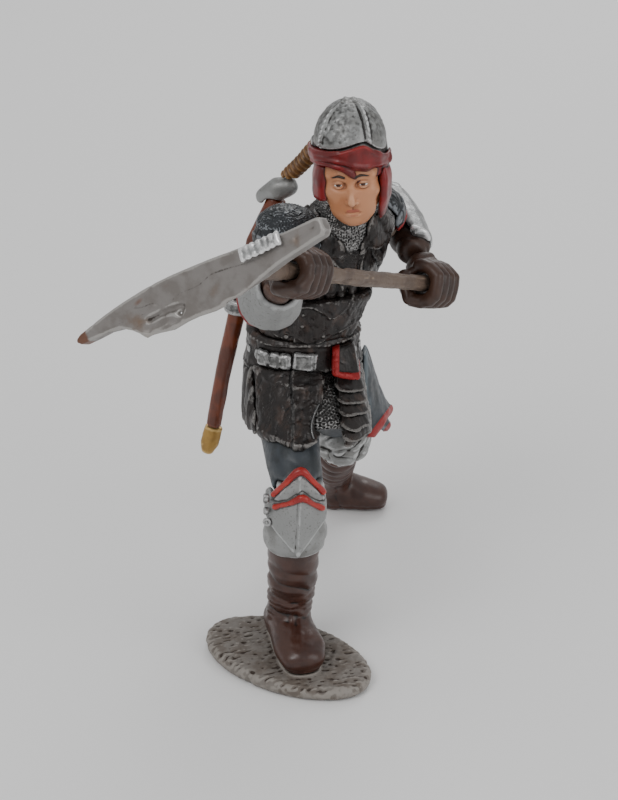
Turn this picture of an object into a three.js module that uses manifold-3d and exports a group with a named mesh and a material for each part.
// Painted miniature soldier in a lunge: a PVC display figure with a helmet, mail,
// leather armour, a polearm held in both fists and a curved sword on the back.
// Millimetres, +Z up. The origin is the middle of the stone base's underside, the
// figure faces -Y, and +X is on its left-hand side.

import * as THREE from 'three';
import { mergeVertices } from 'three/addons/utils/BufferGeometryUtils.js';
import Module from 'manifold-3d';

const wasm = await Module();
wasm.setup();

const v = (x, y, z) => new THREE.Vector3(x, y, z);

// ---------------------------------------------------------------- driving dimensions

const GAP = 0.3;              // clearance kept between neighbouring pieces
const PLATE = 1.3;            // how far a worn plate stands off what it covers
const TRIM = 0.5;             // extra height of a raised trim on a plate

const BASE = { length: 26.4, width: 15.6, height: 2, turn: -0.626 };

// Skeleton
const HIP_RIGHT = v(-0.8, 14.5, 34);
const KNEE_RIGHT = v(1.6, -1.6, 29);
const HIP_LEFT = v(6.4, 18.5, 33);
const FIST_RIGHT = v(1.8, -13, 65.2);
const FIST_LEFT = v(19, 12.5, 52.2);
const SHOULDER_LEFT = v(12.2, 17.5, 60);
const CRANIUM = v(8.2, 9.2, 73.8);

// Polearm
const SHAFT = { radius: 1.1, butt: 3.4, reach: 10.6 };
const BORE = SHAFT.radius + GAP;
const BLADE = { thickness: 1.9 };

// Sword on the back
const SWORD_TOP = v(4.6, 20.4, 69.6);
const SWORD_TIP = v(-11.8, 26, 18.9);

// ---------------------------------------------------------------- materials

const FINISH = {
  stone: [0x7d766d, 0.85, 0],
  boot_brown: [0x4a2f27, 0.5, 0],
  glove_brown: [0x4f3a33, 0.5, 0],
  cloth: [0x3f4850, 0.6, 0],
  armour: [0x2c2623, 0.45, 0.15],
  mail: [0x6c6c6c, 0.4, 0.5],
  steel: [0x8b8d8e, 0.4, 0.4],
  red: [0x8f1c1f, 0.4, 0],
  flesh: [0xb9764d, 0.5, 0],
  wood: [0x83705e, 0.6, 0],
  blade: [0x8d8a86, 0.45, 0.2],
  silver: [0xc9c9c9, 0.35, 0.5],
  scabbard: [0x5f2d1f, 0.45, 0],
  gold: [0x8a6a33, 0.45, 0.2],
};

// ---------------------------------------------------------------- solids

function toSolid(geometry) {
  geometry.deleteAttribute('normal');
  geometry.deleteAttribute('uv');
  const welded = mergeVertices(geometry, 1e-4);
  return new wasm.Manifold(new wasm.Mesh({
    numProp: 3,
    vertProperties: new Float32Array(welded.attributes.position.array),
    triVerts: new Uint32Array(welded.index.array),
  }));
}

function toGeometry(solid) {
  const mesh = solid.getMesh();
  const geometry = new THREE.BufferGeometry();
  geometry.setAttribute('position', new THREE.BufferAttribute(mesh.vertProperties, 3));
  geometry.setIndex(new THREE.BufferAttribute(mesh.triVerts, 1));
  geometry.computeVertexNormals();
  return geometry;
}

function join(...solids) {
  return solids.reduce((sum, solid) => sum.add(solid));
}

// A closed body through a row of elliptic rings. A ring is { centre, u, w }, its middle
// and its two half-axes; u x (direction of travel) points along w.
function sweep(rings, sectors) {
  const tube = new THREE.CylinderGeometry(1, 1, 1, sectors, rings.length - 1);
  const place = tube.attributes.position;
  for (let i = 0; i < place.count; i += 1) {
    const ring = rings[Math.round((place.getY(i) + 0.5) * (rings.length - 1))];
    const point = ring.centre.clone()
      .addScaledVector(ring.u, place.getX(i))
      .addScaledVector(ring.w, place.getZ(i));
    place.setXYZ(i, point.x, point.y, point.z);
  }
  return toSolid(tube);
}

// Spreads the rows [x, y, z, a, b, turn] to a smooth run with `steps` rings a span.
function smoothRows(rows, steps) {
  const result = [];
  const last = rows.length - 1;
  for (let i = 0; i <= last * steps; i += 1) {
    const span = Math.min(Math.floor(i / steps), last - 1);
    const t = i / steps - span;
    const at = (n) => rows[Math.min(Math.max(n, 0), last)];
    result.push(rows[0].map((_, k) => {
      const [p, q, r, s] = [at(span - 1)[k], at(span)[k], at(span + 1)[k], at(span + 2)[k]];
      return 0.5 * (2 * q + (r - p) * t + (2 * p - 5 * q + 4 * r - s) * t * t
        + (3 * q - p - 3 * r + s) * t * t * t);
    }));
  }
  return result;
}

// Level sections stacked up Z: row = [x, y, z, half width, half depth, turn in degrees].
function stack(rows, { grow = 0, steps = 1, sectors = 16 } = {}) {
  const rings = smoothRows(rows, steps).map(([x, y, z, a, b, turn]) => {
    const angle = THREE.MathUtils.degToRad(turn);
    return {
      centre: v(x, y, z),
      u: v(Math.cos(angle), Math.sin(angle), 0).multiplyScalar(a + grow),
      w: v(Math.sin(angle), -Math.cos(angle), 0).multiplyScalar(b + grow),
    };
  });
  rings[0].centre.z -= grow;
  rings[rings.length - 1].centre.z += grow;
  return sweep(rings, sectors);
}

// A limb: sections square to its centre line; row = [x, y, z, half width, half height].
// `across` is roughly the direction of the half width, and both ends are rounded off.
function limb(rows, across, { grow = 0, steps = 1, sectors = 12, round = 0.35 } = {}) {
  const fine = smoothRows(rows, steps);
  const centres = fine.map(([x, y, z]) => v(x, y, z));
  const rings = fine.map(([, , , a, b], i) => {
    const travel = centres[Math.min(i + 1, fine.length - 1)].clone()
      .sub(centres[Math.max(i - 1, 0)]).normalize();
    const u = across.clone().addScaledVector(travel, -across.dot(travel)).normalize();
    const w = u.clone().cross(travel);
    return { centre: centres[i], travel, u: u.multiplyScalar(a + grow), w: w.multiplyScalar(b + grow) };
  });
  const capped = [];
  for (const [ring, way] of [[rings[0], -1], [rings[rings.length - 1], 1]]) {
    const depth = round * (ring.u.length() + ring.w.length()) / 2 + grow;
    const cap = [[0.55, 0.86], [1, 0.5]].map(([out, size]) => ({
      centre: ring.centre.clone().addScaledVector(ring.travel, way * depth * out),
      u: ring.u.clone().multiplyScalar(size),
      w: ring.w.clone().multiplyScalar(size),
    }));
    capped.push(way < 0 ? cap.reverse() : cap);
  }
  return sweep([...capped[0], ...rings, ...capped[1]], sectors);
}

function ball(centre, radii, { grow = 0, tilt = [0, 0, 0], sectors = 16 } = {}) {
  const sphere = new THREE.SphereGeometry(1, sectors, Math.round(sectors * 0.55));
  sphere.rotateX(Math.PI / 2);
  sphere.scale(radii[0] + grow, radii[1] + grow, radii[2] + grow);
  const turn = new THREE.Euler(...tilt.map(THREE.MathUtils.degToRad));
  sphere.applyMatrix4(new THREE.Matrix4().makeRotationFromEuler(turn));
  sphere.translate(centre.x, centre.y, centre.z);
  return toSolid(sphere);
}

// A straight round bar between two points, with a radius at each end.
function bar(from, to, startRadius, endRadius = startRadius, sectors = 16) {
  const travel = to.clone().sub(from);
  const cylinder = new THREE.CylinderGeometry(endRadius, startRadius, travel.length(), sectors);
  const turn = new THREE.Quaternion().setFromUnitVectors(v(0, 1, 0), travel.clone().normalize());
  cylinder.applyQuaternion(turn);
  const middle = from.clone().add(to).multiplyScalar(0.5);
  cylinder.translate(middle.x, middle.y, middle.z);
  return toSolid(cylinder);
}

// A level box given by its two corners, turned about its own middle.
function block(low, high, { grow = 0, tilt = [0, 0, 0] } = {}) {
  const size = high.clone().sub(low);
  const box = new THREE.BoxGeometry(size.x + 2 * grow, size.y + 2 * grow, size.z + 2 * grow);
  const turn = new THREE.Euler(...tilt.map(THREE.MathUtils.degToRad));
  box.applyMatrix4(new THREE.Matrix4().makeRotationFromEuler(turn));
  const middle = low.clone().add(high).multiplyScalar(0.5);
  box.translate(middle.x, middle.y, middle.z);
  return toSolid(box);
}

// A flat outline of [across, up] points, pushed through along an axis frame.
function prism(outline, depth, origin, across, up) {
  const shape = new THREE.Shape(outline.map(([x, y]) => new THREE.Vector2(x, y)));
  const solid = new THREE.ExtrudeGeometry(shape, { depth, bevelEnabled: false });
  solid.translate(0, 0, -depth / 2);
  const through = across.clone().cross(up);
  solid.applyMatrix4(new THREE.Matrix4().makeBasis(across, up, through).setPosition(origin));
  return toSolid(solid);
}

// An outline in the front view (x, z), cut through the whole depth of the figure
// between `front` and `back`.
function frontCut(outline, front, back) {
  const middle = v(0, (front + back) / 2, 0);
  return prism(outline, back - front, middle, v(1, 0, 0), v(0, 0, 1));
}

// ---------------------------------------------------------------- assembling

const figure = new THREE.Group();
const settled = [];

// Adds a piece. shape(grow) returns it made larger all round by `grow`; every piece that
// is already there, made larger by the clearance, is cut out of the new one. Crumbs that
// the cuts leave loose are dropped.
function add(name, finish, shape) {
  let solid = shape(0);
  for (const other of settled) solid = solid.subtract(other);
  solid = solid.decompose().reduce((most, part) => (part.volume() > most.volume() ? part : most));
  settled.push(shape(GAP));
  const [color, roughness, metalness] = FINISH[finish];
  const mesh = new THREE.Mesh(
    toGeometry(solid),
    new THREE.MeshStandardMaterial({ color, roughness, metalness }),
  );
  mesh.name = name;
  figure.add(mesh);
}

// ---------------------------------------------------------------- stone base

function stoneBase(grow) {
  const profile = [[0, 0], [0.94, 0], [1, 0.35], [1, 0.75], [0.95, 1], [0, 1.05]];
  const disc = new THREE.LatheGeometry(profile.map(([r, h]) => new THREE.Vector2(r, h)), 28);
  disc.rotateX(Math.PI / 2);
  disc.scale(BASE.length / 2 + grow, BASE.width / 2 + grow, BASE.height);
  disc.rotateZ(BASE.turn);
  disc.translate(0, 0, grow / 4);
  return toSolid(disc);
}

// ---------------------------------------------------------------- legs

const SOLE_RIGHT = BASE.height + 0.42;

function frontBoot(grow) {
  const foot = limb([
    [-0.8, 5.4, 4.9, 2.7, 2.8],
    [0.5, 1, 5, 3, 3.1],
    [1.7, -3, 4.4, 3.5, 2.3],
    [2.2, -5.6, 4, 2.9, 1.7],
  ], v(1, 0.2, 0), { grow, round: 0.45 });
  const shaft = stack([
    [-0.1, 3.6, 4, 2.9, 3.1, 0],
    [0.3, 2.4, 8.5, 2.9, 3, 0],
    [0.7, 1, 14, 3.2, 3.2, 0],
    [0.9, -0.2, 20, 3.4, 3.4, 0],
  ], { grow, sectors: 16 });
  const ground = block(v(-20, -30, -10), v(20, 30, SOLE_RIGHT - grow));
  return join(foot, shaft).subtract(ground);
}

const shinRows = [
  [0.9, -0.5, 19, 3.6, 3.6, 0],
  [1.1, -0.9, 22.5, 3.3, 3.4, 0],
  [1.5, -1.4, 26, 3.1, 3.2, 0],
  [1.8, -1.5, 29.4, 3, 3.1, 0],
];

const shin = (grow) => stack(shinRows, { grow, sectors: 14 });

// The greave narrows to a point over the instep.
function greave(grow) {
  const outline = [
    [-3.2 - grow, 28 + grow],
    [-3 - grow, 25.6],
    [1.5, 20.2 - 1.5 * grow],
    [5.2 + grow, 25.6],
    [6.2 + grow, 28 + grow],
    [1.9, 30.4 + grow],
  ];
  return shin(PLATE + grow).intersect(frontCut(outline, -9, KNEE_RIGHT.y + 1.6));
}

const kneeBall = (grow) => ball(KNEE_RIGHT, [3.5, 3.9, 3.9], { grow, tilt: [12, 0, 0], sectors: 16 });

function kneeCop(grow) {
  const outline = [
    [-2.2 - grow, 27.4 - grow],
    [-2.4 - grow, 29.2],
    [1.8, 32.4 + grow],
    [6 + grow, 29.2],
    [5.8 + grow, 27.4 - grow],
  ];
  return kneeBall(0.5 + grow).intersect(frontCut(outline, -9, KNEE_RIGHT.y - 0.8));
}

// A chevron band that stands proud of the knee plates, peak up.
function chevron(plate, middle, peak, drop, band, grow) {
  const half = 3.8 + grow;
  const outline = [
    [middle - half, peak - drop - band - grow],
    [middle - half, peak - drop + grow],
    [middle, peak + grow],
    [middle + half, peak - drop + grow],
    [middle + half, peak - drop - band - grow],
    [middle, peak - band - grow],
  ];
  return plate(TRIM + PLATE + grow).intersect(frontCut(outline, -12, KNEE_RIGHT.y - 1.8));
}

const thighRight = (grow) => limb([
  [HIP_RIGHT.x, HIP_RIGHT.y, HIP_RIGHT.z - 0.6, 4.3, 4.3],
  [0.3, 8, 32, 3.9, 4.2],
  [0.9, 2.4, 30.2, 3.5, 4.1],
  [1.5, 0.2, 28.2, 3.5, 3.8],
], v(1, 0.1, 0), { grow, round: 0.5 });

const thighLeft = (grow) => limb([
  [HIP_LEFT.x, HIP_LEFT.y, HIP_LEFT.z - 0.5, 4.2, 4.4],
  [7.4, 23.6, 26.8, 4.1, 4.2],
  [8, 28, 21.6, 3.6, 3.6],
], v(1, -0.3, 0), { grow, round: 0.5 });

// Bunched cloth gaiter round the rear knee.
const gaiterLeft = (grow) => limb([
  [7.3, 22.6, 26, 4.4, 4.4],
  [7.3, 25.6, 22.6, 4.4, 4.4],
  [7.8, 29.2, 20.2, 4.2, 4],
  [7.5, 32.4, 17.6, 3.6, 3.4],
], v(1, -0.2, 0), { grow, round: 0.25 });

function rearBoot(grow) {
  const foot = limb([
    [5.8, 44.8, 2.6, 2.6, 2.8],
    [8.6, 44.6, 2.9, 2.8, 2.8],
    [11.8, 44.5, 2.2, 3, 2.1],
    [14, 44.5, 1.8, 2.5, 1.6],
  ], v(0, 1, 0), { grow, round: 0.45 });
  const shaft = limb([
    [6.2, 44.6, 4, 2.8, 2.8],
    [6.6, 42, 7.6, 2.9, 2.8],
    [6.8, 38.6, 11, 2.9, 3],
    [7, 35.2, 14.2, 3, 3.1],
    [7.3, 32.8, 16.8, 2.9, 3],
  ], v(1, 0, 0), { grow, round: 0.2 });
  const ground = block(v(-20, 20, -10), v(30, 60, -grow));
  return join(foot, shaft).subtract(ground);
}

// ---------------------------------------------------------------- hips and skirt

const skirtRows = [
  [3, 14.4, 30.6, 7.9, 10.6, 6],
  [2.9, 13.2, 34.2, 7.7, 12, 6],
  [2.6, 14, 38, 7.2, 8.6, 6],
  [2.1, 15.2, 41.6, 6.5, 5, 6],
];
const skirt = (grow) => stack(skirtRows, { grow, sectors: 20 });

// The mail's hem rises towards the front.
function mailSkirt(grow) {
  const below = block(v(-30, -20, 0), v(30, 40, 32.2 - grow), { tilt: [-17, 0, 0] });
  return skirt(grow).subtract(below);
}

// A panel of the skirt: the part of a shell inside an outline seen from the front.
function panel(outline, height, front, back) {
  return (grow) => {
    const midX = outline.reduce((sum, [x]) => sum + x, 0) / outline.length;
    const midZ = outline.reduce((sum, [, z]) => sum + z, 0) / outline.length;
    const wider = outline.map(([x, z]) => [
      x + Math.sign(x - midX) * grow,
      z + Math.sign(z - midZ) * grow,
    ]);
    return skirt(height + grow).intersect(frontCut(wider, front, back));
  };
}

const tassetFrontRight = panel(
  [[-4.4, 41], [0.3, 41], [0.9, 37], [0.7, 33.5], [-3.7, 33]], PLATE, -3, 14);
const tassetFrontLeft = panel(
  [[0.7, 41], [4.6, 41], [4.6, 38.6], [3.4, 36.8], [3.4, 35.2], [4.4, 35], [1.3, 33.4]],
  PLATE, -3, 14);
const tassetSide = panel([[-8.5, 41], [-4.9, 41], [-4.1, 32.6], [-8.5, 31]], PLATE, -2, 21);
const tassetRear = panel([[-8.5, 39.6], [1.5, 39.6], [1.5, 31], [-8.5, 31]], PLATE, 21.5, 30);
const lameStrap = panel([[6.6, 41.5], [9.4, 41.5], [11, 33], [8.1, 33.2]], PLATE, -2, 14);
const beltFlap = panel([[6.4, 45.2], [8.6, 45.2], [9.6, 40.3], [6.3, 41.6]], PLATE + 1.2, -2, 13);

// The coat's tails flare out behind the rear leg, one layer over the other, with a
// slanting hem on the outer side.
const coatRows = [
  [8, 27.5, 17.5, 8, 9.6, 30],
  [6.6, 24.5, 25, 7.4, 8.8, 26],
  [4.4, 20, 33, 6.6, 7.4, 18],
  [2.8, 16.8, 40.2, 6.2, 5.6, 8],
];
const HEM_WAY = v(0.797, -0.296, -0.526);
const TAIL_WAY = v(0, 0.454, 0.891);
function coatLayer(off, tail, hem) {
  return (grow) => {
    const hollow = stack(coatRows, { grow: off - 1 - grow, sectors: 18 });
    const region = block(v(-1.5, 12, 12), v(30, 60, 40.2 + grow), { tilt: [0, 0, 12] });
    const opening = block(v(-20, 0, 0), v(10.4 - grow, 24.4 - grow, 60));
    return stack(coatRows, { grow: off + grow, sectors: 18 })
      .subtract(hollow)
      .intersect(region)
      .subtract(opening)
      .trimByPlane(HEM_WAY.clone().negate().toArray(), -(hem + grow))
      .trimByPlane(TAIL_WAY.toArray(), tail - grow);
  };
}

// ---------------------------------------------------------------- torso

const torsoRows = [
  [2.2, 15.1, 41.9, 6.2, 4.8, 5],
  [2.6, 15, 45.4, 6.2, 4.9, 10],
  [4.1, 14.4, 50.6, 7, 5.4, 19],
  [5.9, 13.7, 55.6, 7.8, 5.7, 28],
  [6.9, 13.2, 59.6, 7.8, 5.1, 34],
  [7.6, 12.6, 62.4, 5.4, 4, 34],
];
const torso = (grow) => stack(torsoRows, { grow });

function bellyPlate(grow) {
  const outline = [
    [-4.6 - grow, 51.2 + grow],
    [-4.8 - grow, 46],
    [-2.8, 45.4 - grow],
    [0.6, 45 - grow],
    [5, 43.4 - grow],
    [8.4, 45.2 - grow],
    [11 + grow, 51.2 + grow],
  ];
  return torso(1 + grow).intersect(frontCut(outline, 0, 15.5));
}

const beltRing = (grow) => stack([
  [2.1, 15.1, 41.2, 6.7, 5.4, 6],
  [2.2, 15.1, 43.8, 6.3, 5, 8],
], { grow: PLATE + grow, sectors: 20 });

function buckle(grow) {
  const window = block(v(0.9, 4, 41.5), v(3.9, 12, 43.7), { grow, tilt: [0, 8, 0] });
  return beltRing(0.7 + grow).intersect(window);
}

// A short strap with square studs that stand proud of it.
function beltStuds(grow) {
  const strap = beltRing(0.55 + grow)
    .intersect(block(v(-4.3, 2, 42.1), v(0.3, 14, 43.2), { grow, tilt: [0, 4, 0] }));
  const windows = [-3.3, -1.7, -0.2].map((x) => block(
    v(x - 0.55, 2, 41.7),
    v(x + 0.55, 14, 43.6),
    { grow, tilt: [0, 4, 0] },
  ));
  return join(strap, beltRing(0.9 + grow).intersect(join(...windows)));
}

// Mail mantle over the neck and the tops of the shoulders.
const mantle = (grow) => stack([
  [6.5, 13.3, 58.8, 8.6, 6.1, 34],
  [7, 12.9, 61, 8, 5.6, 34],
  [7.8, 12.2, 63, 5.4, 4.7, 26],
  [8.2, 11.6, 64.6, 3.9, 4, 12],
], { grow });

// ---------------------------------------------------------------- head

const neckPeg = (grow) => bar(v(8, 12, 60.4 - grow), v(8.4, 10.4, 69), 2 + grow, 2.2 + grow, 12);
const skull = (grow) => ball(CRANIUM, [4, 4.9, 4.9], { grow, tilt: [14, 0, -6], sectors: 18 });
const face = (grow) => ball(v(8.4, 7.3, 69.4), [3.5, 4.2, 5], { grow, tilt: [-8, 0, -6], sectors: 16 });
const head = (grow) => join(skull(grow), face(grow), neckPeg(grow));

function helmet(grow) {
  const brim = block(v(-5, -10, 60), v(25, 30, 72.2 - grow), { tilt: [-14, 5, 0] });
  return skull(1 + grow).subtract(brim);
}

// The band dips to a point over the brow, with a low peak above it.
function browBand(grow) {
  const outline = [
    [1.6, 71.4 - grow],
    [5.2, 72.6 - grow],
    [7.5, 72.3 - grow],
    [9.8, 71 - grow],
    [11.5, 71 - grow],
    [15, 70.2 - grow],
    [15, 72.2 + grow],
    [13.4, 72.8 + grow],
    [11.6, 74.1 + grow],
    [9.8, 75.3 + grow],
    [6.6, 74.5 + grow],
    [4.4, 73.9 + grow],
    [1.6, 73.2 + grow],
  ];
  return skull(1.45 + grow).intersect(frontCut(outline, -5, 10 + grow));
}

function cheekGuard(side) {
  return (grow) => {
    const [left, right, bottom] = side < 0 ? [1, 5.2, 67] : [12.1, 17, 64.2];
    const window = block(v(left, 5, bottom), v(right, 9.4, 71.4), { grow, tilt: [-10, 0, 0] });
    return ball(v(8.5, 8.2, 68.6), [5.1, 6, 7.5], { grow, tilt: [0, 0, -6] }).intersect(window);
  };
}

// ---------------------------------------------------------------- right arm

const sleeveRight = (grow) => limb([
  [0.2, 7.4, 60.4, 3.4, 3.4],
  [-1.6, 2.4, 58.4, 3, 3],
  [-2.5, -0.8, 57.2, 2.7, 2.7],
], v(1, 0, 0), { grow, round: 0.5 });

const forearmRight = (grow) => limb([
  [-2.4, -2.6, 57.4, 2.5, 2.5],
  [-1.2, -6.8, 60.2, 2.3, 2.3],
  [-0.4, -9.4, 62, 2.1, 2.1],
], v(1, 0, 0.3), { grow, round: 0.3 });

// The cuff flares from the wrist towards the elbow.
const cuffRight = (grow) => limb([
  [-2.1, -3.6, 57.2, 4.3, 4.1],
  [-1.4, -6.2, 59.4, 3.5, 3.4],
  [-0.8, -8.4, 61.2, 2.9, 2.9],
], v(1, 0, 0.3), { grow, round: 0.02, sectors: 14 });

const pauldronRight = (grow) => {
  const cap = ball(v(0.3, 6.8, 61), [4.7, 5.4, 3.9], { grow, tilt: [14, 22, 0] });
  const below = block(v(-14, -10, 48), v(12, 24, 59.2 - grow), { tilt: [14, 20, 0] });
  return cap.subtract(below);
};

// ---------------------------------------------------------------- left arm

const sleeveLeft = (grow) => limb([
  [SHOULDER_LEFT.x, 18, SHOULDER_LEFT.z - 0.4, 3.1, 3.2],
  [12.8, 23.6, 58.6, 2.8, 2.8],
  [13.4, 27.8, 57.2, 2.5, 2.5],
], v(1, 0, 0), { grow, round: 0.5 });

const forearmLeft = (grow) => limb([
  [13.9, 27.4, 56.9, 2.4, 2.4],
  [15.6, 22.4, 55.9, 2.4, 2.4],
  [17.3, 17.6, 54.7, 2.1, 2.1],
], v(0.6, 0, 0.8), { grow, round: 0.3 });

// A half-round plate along the outer side of the forearm.
function vambrace(grow) {
  const shell = limb([
    [13.8, 27.6, 57.3, 3.2, 3.2],
    [15.6, 22.4, 56.3, 3.2, 3.2],
    [17.1, 18, 55.2, 2.7, 2.7],
  ], v(0.6, 0, 0.8), { grow, round: 0.1 });
  const inner = block(v(0, 10, 40), v(14.9 - grow, 40, 70), { tilt: [0, -24, 16] });
  return shell.subtract(inner);
}

const pauldronLeft = (grow) => {
  const cap = ball(v(12, 17.8, 60.6), [3.9, 4.7, 3.8], { grow, tilt: [-10, -16, 0], sectors: 16 });
  const below = block(v(2, 0, 48), v(30, 34, 58.6 - grow), { tilt: [-6, -12, 0] });
  return cap.subtract(below);
};

const elbowLeft = (grow) => ball(v(13.4, 29.2, 57.4), [2.9, 2.6, 2.9], { grow, sectors: 14 });

// ---------------------------------------------------------------- polearm

const shaftWay = FIST_RIGHT.clone().sub(FIST_LEFT).normalize();
const alongShaft = (from, mm) => from.clone().addScaledVector(shaftWay, mm);
const butt = alongShaft(FIST_LEFT, -SHAFT.butt);
const headMiddle = alongShaft(FIST_RIGHT, SHAFT.reach);

// The head lies across the end of the shaft: its blade points out and down to the
// right-hand side of the figure, and its blunt poll up to the other side.
const bladeWay = (() => {
  const rough = v(-0.806, 0.27, -0.527);
  return rough.addScaledVector(shaftWay, -rough.dot(shaftWay)).normalize();
})();
const bladeDown = shaftWay.clone().cross(bladeWay).normalize();
const bladeFrame = (origin) => new THREE.Matrix4()
  .makeBasis(bladeWay, bladeDown, bladeWay.clone().cross(bladeDown))
  .setPosition(origin);

const shaft = (grow) => bar(
  alongShaft(butt, -grow),
  alongShaft(headMiddle, -BLADE.thickness / 2 - GAP + grow),
  SHAFT.radius + grow,
);

// Points are [along the blade, towards its cutting edge] from the shaft's axis: the thick
// spine out to the round tip, then back along the wavy, notched edge to the poll.
const bladeOutline = [
  [-11.2, -1.2], [-10.2, -2.1], [-5.7, -2.1], [0, -2.7], [7, -3.2], [13, -3.3], [18.7, -2.8],
  [22.4, -2.2], [26, -1.4], [26.4, -0.7], [25.4, -0.2], [21.7, -0.3], [19.7, 0], [17.2, 2.3],
  [12.9, 2.8], [9, 2.6], [5.4, 2.8], [2.9, 2.4], [0, 1.9], [-4.3, 1], [-10.8, 0.2],
];

function blade(grow) {
  const flat = new THREE.Shape(bladeOutline.map(([x, y]) => new THREE.Vector2(x, y)));
  const bevel = 0.45;
  const solid = new THREE.ExtrudeGeometry(flat, {
    depth: BLADE.thickness - 2 * bevel + 2 * grow,
    bevelThickness: bevel,
    bevelSize: bevel,
    bevelOffset: -bevel + grow,
    bevelSegments: 1,
  });
  solid.translate(0, 0, -BLADE.thickness / 2 + bevel - grow);
  solid.applyMatrix4(bladeFrame(headMiddle));
  return toSolid(solid);
}

// Raised silver ribs across the head's face, over the end of the shaft, on one thin strip.
const RIBS = { count: 7, pitch: 0.9, thick: 0.6, wide: 0.5, length: 1.9, along: -2.6, down: -1.6 };
function bladeRibs(grow) {
  const place = (along, down) => headMiddle.clone()
    .addScaledVector(bladeWay, RIBS.along + along)
    .addScaledVector(bladeDown, RIBS.down + down)
    .addScaledVector(shaftWay, BLADE.thickness / 2 + GAP + RIBS.thick / 2);
  const brick = (along, length, width, thick) => {
    const box = new THREE.BoxGeometry(length + 2 * grow, width + 2 * grow, thick + 2 * grow);
    box.applyMatrix4(bladeFrame(place(along, 0)));
    return toSolid(box);
  };
  const span = RIBS.pitch * (RIBS.count - 1);
  const ribs = Array.from(
    { length: RIBS.count },
    (_, i) => brick(i * RIBS.pitch - span / 2, RIBS.wide, RIBS.length, RIBS.thick),
  );
  return join(brick(0, span, RIBS.length - 0.6, RIBS.thick * 0.6), ...ribs);
}

// ---------------------------------------------------------------- fists

// A gloved fist closed round the shaft, with a bore that lets the shaft slide.
function fist(centre, knuckles, wrist) {
  return (grow) => {
    const low = alongShaft(centre, -2.7);
    const high = alongShaft(centre, 2.7);
    const palm = limb([
      [low.x, low.y, low.z, 2.9, 3],
      [centre.x, centre.y, centre.z, 3.3, 3.3],
      [high.x, high.y, high.z, 2.9, 3],
    ], knuckles, { grow, round: 0.2, steps: 1 });
    const heel = limb([
      [centre.x, centre.y, centre.z, 2.9, 2.7],
      [wrist.x, wrist.y, wrist.z, 2.3, 2.3],
    ], knuckles, { grow, round: 0.2, steps: 1 });
    const bore = bar(alongShaft(centre, -9), alongShaft(centre, 9), BORE - grow);
    return join(palm, heel).subtract(bore);
  };
}

const fistRight = fist(FIST_RIGHT, v(1, 0, 0.2), v(-0.3, -9.8, 62.3));
const fistLeft = fist(FIST_LEFT, v(0.7, 0, 0.7), v(17.9, 16.2, 54));

// ---------------------------------------------------------------- sword

const scabbardRows = [
  [-1.4, 22.8, 60.2, 1.3, 1],
  [-4.4, 23.6, 53.6, 1.25, 0.95],
  [-6.9, 24.4, 43.6, 1.15, 0.9],
  [-9.2, 25.2, 33, 1.05, 0.85],
  [-10.8, 25.8, 24, 1, 0.8],
];
const scabbard = (grow) => limb(scabbardRows, v(1, 0, 0.2), { grow, round: 0.1, sectors: 12 });
const scabbardTip = (grow) => limb([
  [-10.9, 25.9, 23.4, 1.4, 1.15],
  [-11.4, 26, 21, 1.45, 1.15],
  [SWORD_TIP.x, SWORD_TIP.y, SWORD_TIP.z + 1, 1.1, 0.9],
], v(1, 0, 0.2), { grow, round: 0.8, sectors: 12 });
const scabbardRing = (grow) => bar(v(-6.6, 24.3, 44.8), v(-7, 24.45, 42.9), 1.9 + grow, 1.9 + grow, 14);
const swordGuard = (grow) => limb([
  [-3.4, 23.2, 60.2, 1.1, 1.4],
  [-1.2, 22.5, 61.8, 1.7, 1.8],
  [0.6, 22.2, 62.4, 1.2, 1.4],
], v(0, 1, 0.2), { grow, round: 0.6, sectors: 12 });
const swordGrip = (grow) => limb([
  [-0.2, 22.3, 63.4, 1.15, 1.15],
  [2.2, 21.4, 66.2, 1.2, 1.2],
  [SWORD_TOP.x, SWORD_TOP.y, SWORD_TOP.z, 1.25, 1.25],
], v(0, 1, 0.2), { grow, round: 0.5, sectors: 12 });
const swordPad = (grow) => block(v(-2.6, 17.6, 55.6), v(1.6, 22.6, 58.6), { grow, tilt: [0, -20, -16] });

// ---------------------------------------------------------------- the assembly

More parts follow.
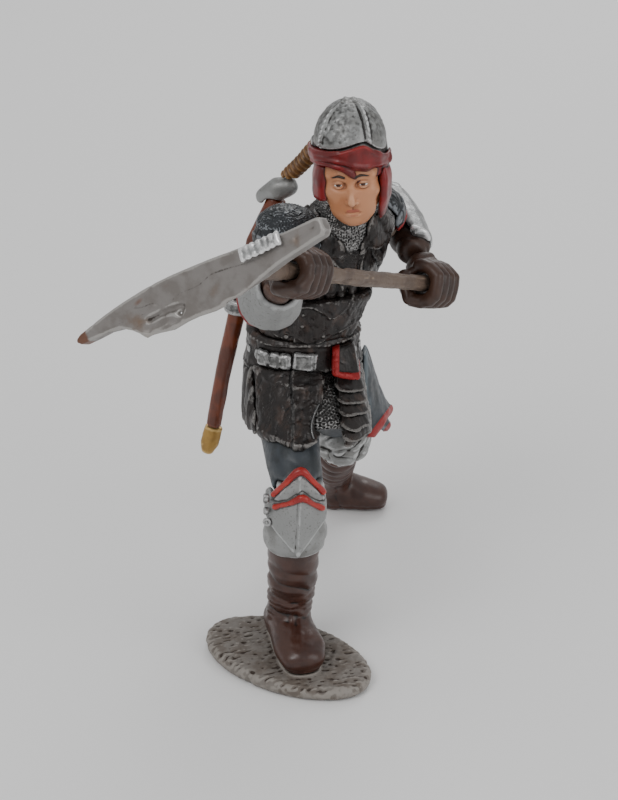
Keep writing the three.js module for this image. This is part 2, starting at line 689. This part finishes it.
add('base', 'stone', stoneBase);
add('front_boot', 'boot_brown', frontBoot);
add('front_gaiter', 'steel', shin);
add('front_thigh', 'cloth', thighRight);
add('front_greave', 'steel', greave);
add('front_knee_cop', 'steel', kneeCop);
add('front_chevron_upper', 'red', (grow) => chevron(kneeBall, 1.8, 33.2, 3.6, 1.2, grow));
add('front_chevron_lower', 'red', (grow) => chevron(shin, 1.9, 30.6, 2.6, 1.1, grow));
add('rear_boot', 'boot_brown', rearBoot);
add('rear_gaiter', 'steel', gaiterLeft);
add('rear_thigh', 'cloth', thighLeft);

add('mail_skirt', 'mail', mailSkirt);
add('torso', 'armour', torso);
add('belt', 'armour', beltRing);
add('belt_buckle', 'silver', buckle);
add('belt_studs', 'silver', beltStuds);
add('belly_plate', 'armour', bellyPlate);
add('belt_flap', 'red', beltFlap);
add('tasset_front_right', 'armour', tassetFrontRight);
add('tasset_front_left', 'armour', tassetFrontLeft);
add('tasset_side', 'armour', tassetSide);
add('tasset_rear', 'armour', tassetRear);
add('lame_strap', 'armour', lameStrap);
add('coat_tail_inner', 'cloth', coatLayer(0.2, 29.7, -8.65));
add('coat_tail_outer', 'cloth', coatLayer(1.6, 31.1, -9.74));

add('head', 'flesh', head);
add('helmet_shell', 'steel', helmet);
add('brow_band', 'red', browBand);
add('cheek_guard_right', 'red', cheekGuard(-1));
add('cheek_guard_left', 'red', cheekGuard(1));

add('polearm_shaft', 'wood', shaft);
add('polearm_blade', 'blade', blade);
add('blade_ribs', 'silver', bladeRibs);

add('right_fist', 'glove_brown', fistRight);
add('left_fist', 'glove_brown', fistLeft);
add('right_forearm', 'glove_brown', forearmRight);
add('right_cuff', 'steel', cuffRight);
add('right_sleeve', 'mail', sleeveRight);
add('left_forearm', 'glove_brown', forearmLeft);
add('left_vambrace', 'silver', vambrace);
add('left_sleeve', 'mail', sleeveLeft);
add('left_elbow_cop', 'silver', elbowLeft);
add('mail_mantle', 'mail', mantle);
add('right_pauldron', 'armour', pauldronRight);
add('left_pauldron', 'armour', pauldronLeft);

add('scabbard', 'scabbard', scabbard);
add('scabbard_ring', 'silver', scabbardRing);
add('scabbard_tip', 'gold', scabbardTip);
add('sword_guard', 'steel', swordGuard);
add('sword_grip', 'gold', swordGrip);
add('sword_pad', 'scabbard', swordPad);

export default figure;
